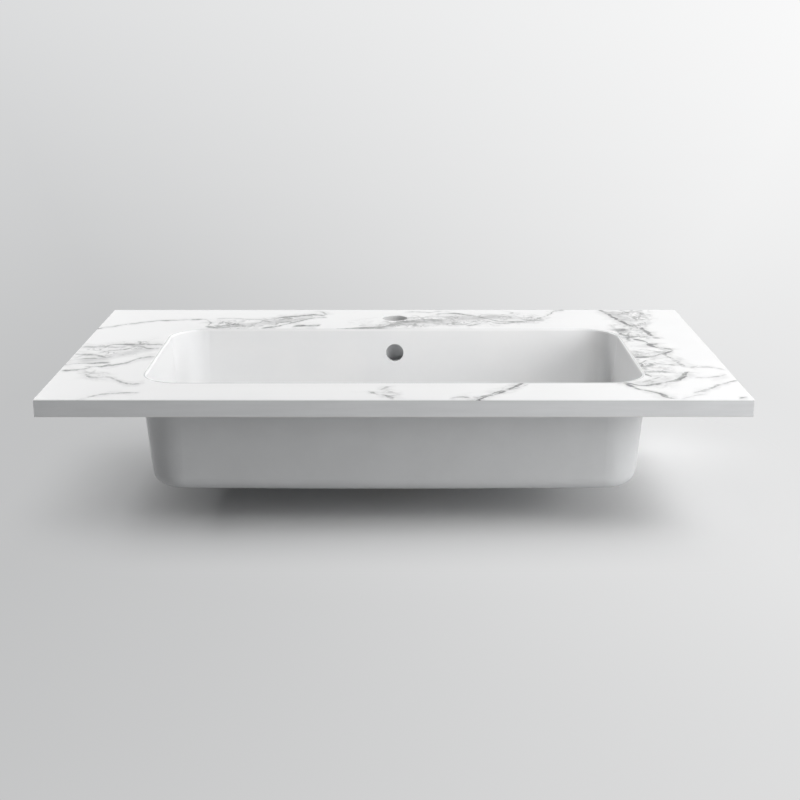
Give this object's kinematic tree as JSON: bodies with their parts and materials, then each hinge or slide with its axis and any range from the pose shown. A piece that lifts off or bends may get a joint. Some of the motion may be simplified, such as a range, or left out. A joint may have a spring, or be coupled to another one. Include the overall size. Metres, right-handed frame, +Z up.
{
  "type": "washbasin",
  "caption": "Washbasin top: flat marble-look deck with an inset rectangular white bowl, a tap hole, an overflow channel and a waste with a push plug.",
  "frame": {"origin": "middle of the deck's rear edge, on the deck's underside, where the top lies on its cabinet against the wall", "axes": "+X along the wall to the right as seen from the front, +Y towards the wall, +Z up"},
  "size_m": [0.8, 0.48, 0.1837],
  "materials": {
    "marble_laminate": "white with soft grey veins, satin gloss",
    "backing_laminate": "plain, fine linen texture",
    "edging": "plain off-white, satin",
    "board": "moisture-resistant fibreboard, bare cut faces",
    "bowl_resin": "moulded white, glossy",
    "sealant": "white silicone, soft sheen",
    "channel_plastic": "moulded pale grey",
    "steel": "zinc-plated",
    "brass": "machined",
    "chrome": "polished",
    "gasket_rubber": "matt black",
    "washer_plastic": "natural white",
    "latch_plastic": "moulded white"
  },
  "bodies": {
    "basin": {"deck_core": "board", "marble_facing": "marble_laminate", "backing_sheet": "backing_laminate", "front_edging": "edging", "rear_edging": "edging", "left_edging": "edging", "right_edging": "edging", "bowl": "bowl_resin", "rim_sealant": "sealant", "flange_adhesive": "sealant", "overflow_channel": "channel_plastic", "bowl_clips": "steel", "threaded_inserts": "brass", "clip_washers": "steel", "clip_screws": "steel", "waste_body": "chrome", "waste_top_gasket": "gasket_rubber", "waste_base_gasket": "gasket_rubber", "waste_slip_washer": "washer_plastic", "waste_backnut": "brass", "latch_barrel": "brass", "latch_collar": "latch_plastic", "latch_spring": "steel"},
    "plug": {"plug_cap": "chrome", "plug_seal": "gasket_rubber", "plug_stem": "brass"}
  },
  "joints": [
    {"name": "plug_press", "type": "slide", "parent": "basin", "child": "plug", "axis": [0, 0, 1], "range_m": [-0.009, 0], "stiffness_N_per_m": 600, "springref_m": 0.006, "deforming": ["latch_spring"]}
  ]
}
